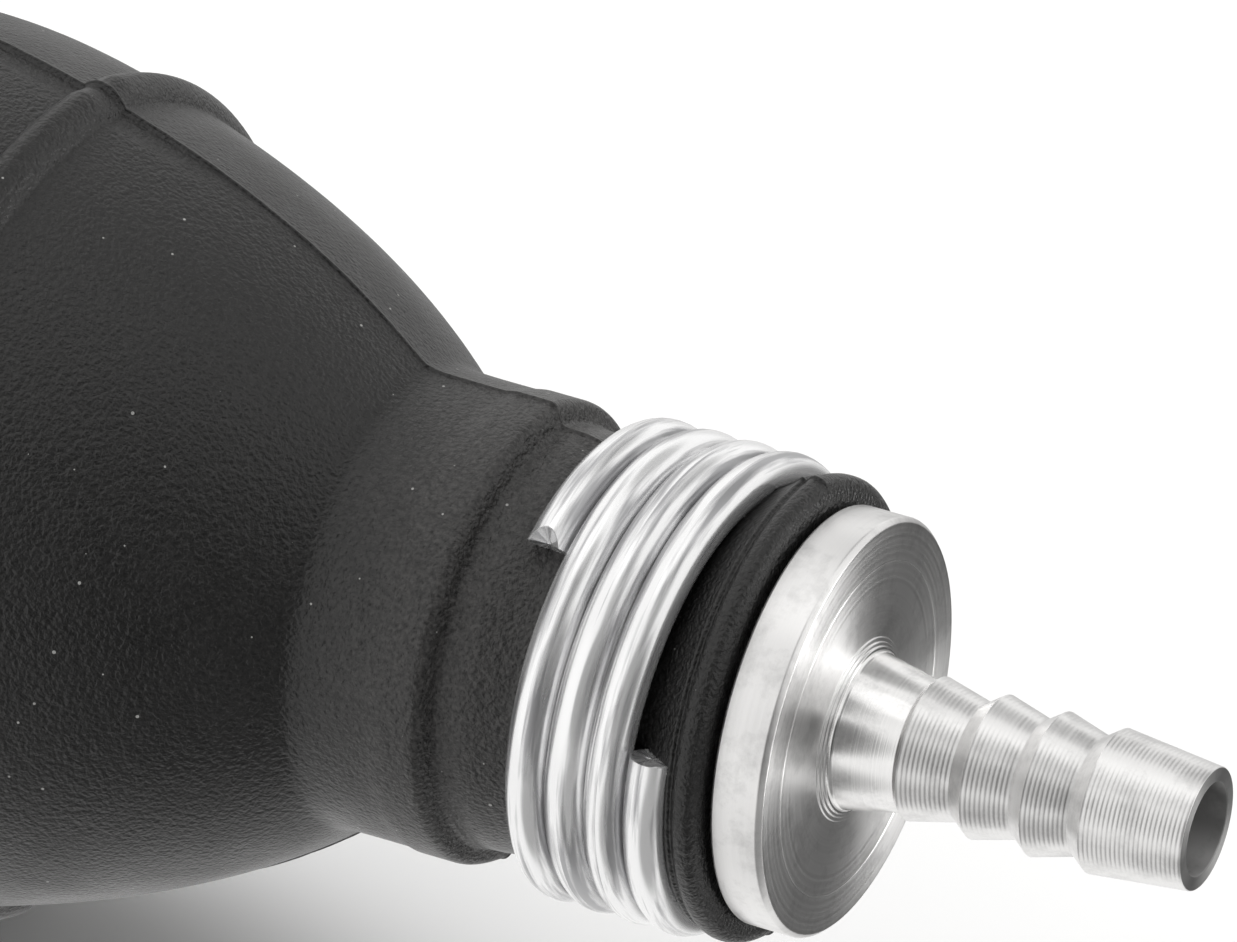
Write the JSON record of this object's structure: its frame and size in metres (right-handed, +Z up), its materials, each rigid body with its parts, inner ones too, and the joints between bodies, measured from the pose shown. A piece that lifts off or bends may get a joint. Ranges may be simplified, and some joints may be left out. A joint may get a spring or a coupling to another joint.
{
  "type": "siphon bulb pump",
  "caption": "Hand siphon pump: a rubber squeeze bulb with a wire-clamped, barbed aluminium hose fitting and a ball check valve in each neck.",
  "frame": {"origin": "the middle of the bulb, on the pump's axis", "axes": "+X along the pump's axis, the way the liquid flows, from the inlet to the outlet; +Z up, through the upper parting line; +Y to the back squeeze wall"},
  "size_m": [0.159, 0.0482, 0.0492],
  "materials": {
    "bulb_rubber": "fine leather-like grain, satin black",
    "turned_aluminium": "bright turned, with fine tool marks",
    "plated_wire": "bright zinc plated drawn wire",
    "valve_brass": "turned",
    "ball_steel": "polished",
    "spring_steel": "drawn spring wire",
    "seal_rubber": "smooth moulded nitrile"
  },
  "bodies": {
    "root": {"bulb_moulding": "bulb_rubber", "inlet_hose_fitting": "turned_aluminium", "inlet_wire_clamp": "plated_wire", "inlet_snap_ring": "spring_steel", "inlet_valve_body": "valve_brass", "inlet_valve_seat": "seal_rubber", "inlet_valve_seal_ring": "seal_rubber", "inlet_valve_spring": "spring_steel", "inlet_spring_keeper": "valve_brass", "outlet_hose_fitting": "turned_aluminium", "outlet_wire_clamp": "plated_wire", "outlet_snap_ring": "spring_steel", "outlet_valve_body": "valve_brass", "outlet_valve_seat": "seal_rubber", "outlet_valve_seal_ring": "seal_rubber", "outlet_valve_spring": "spring_steel", "outlet_spring_keeper": "valve_brass"},
    "front_wall": {"bulb_squeeze_wall_front": "bulb_rubber"},
    "back_wall": {"bulb_squeeze_wall_back": "bulb_rubber"},
    "inlet_ball": {"inlet_valve_ball": "ball_steel"},
    "outlet_ball": {"outlet_valve_ball": "ball_steel"}
  },
  "joints": [
    {"name": "bulb_squeeze_front", "type": "slide", "parent": "root", "child": "front_wall", "axis": [0, 1, 0], "range_m": [0, 0.0075], "stiffness_N_per_m": 2500},
    {"name": "bulb_squeeze_back", "type": "slide", "parent": "root", "child": "back_wall", "axis": [0, -1, 0], "range_m": [0, 0.0075], "stiffness_N_per_m": 2500},
    {"name": "inlet_valve_lift", "type": "slide", "parent": "root", "child": "inlet_ball", "axis": [1, 0, 0], "range_m": [0, 0.0015], "stiffness_N_per_m": 60, "springref_m": -0.003, "deforming": ["inlet_valve_spring"]},
    {"name": "outlet_valve_lift", "type": "slide", "parent": "root", "child": "outlet_ball", "axis": [1, 0, 0], "range_m": [0, 0.0015], "stiffness_N_per_m": 60, "springref_m": -0.003, "deforming": ["outlet_valve_spring"]}
  ],
  "couplings": [
    {"joint": "bulb_squeeze_back", "follows": "bulb_squeeze_front", "ratio": 1}
  ]
}
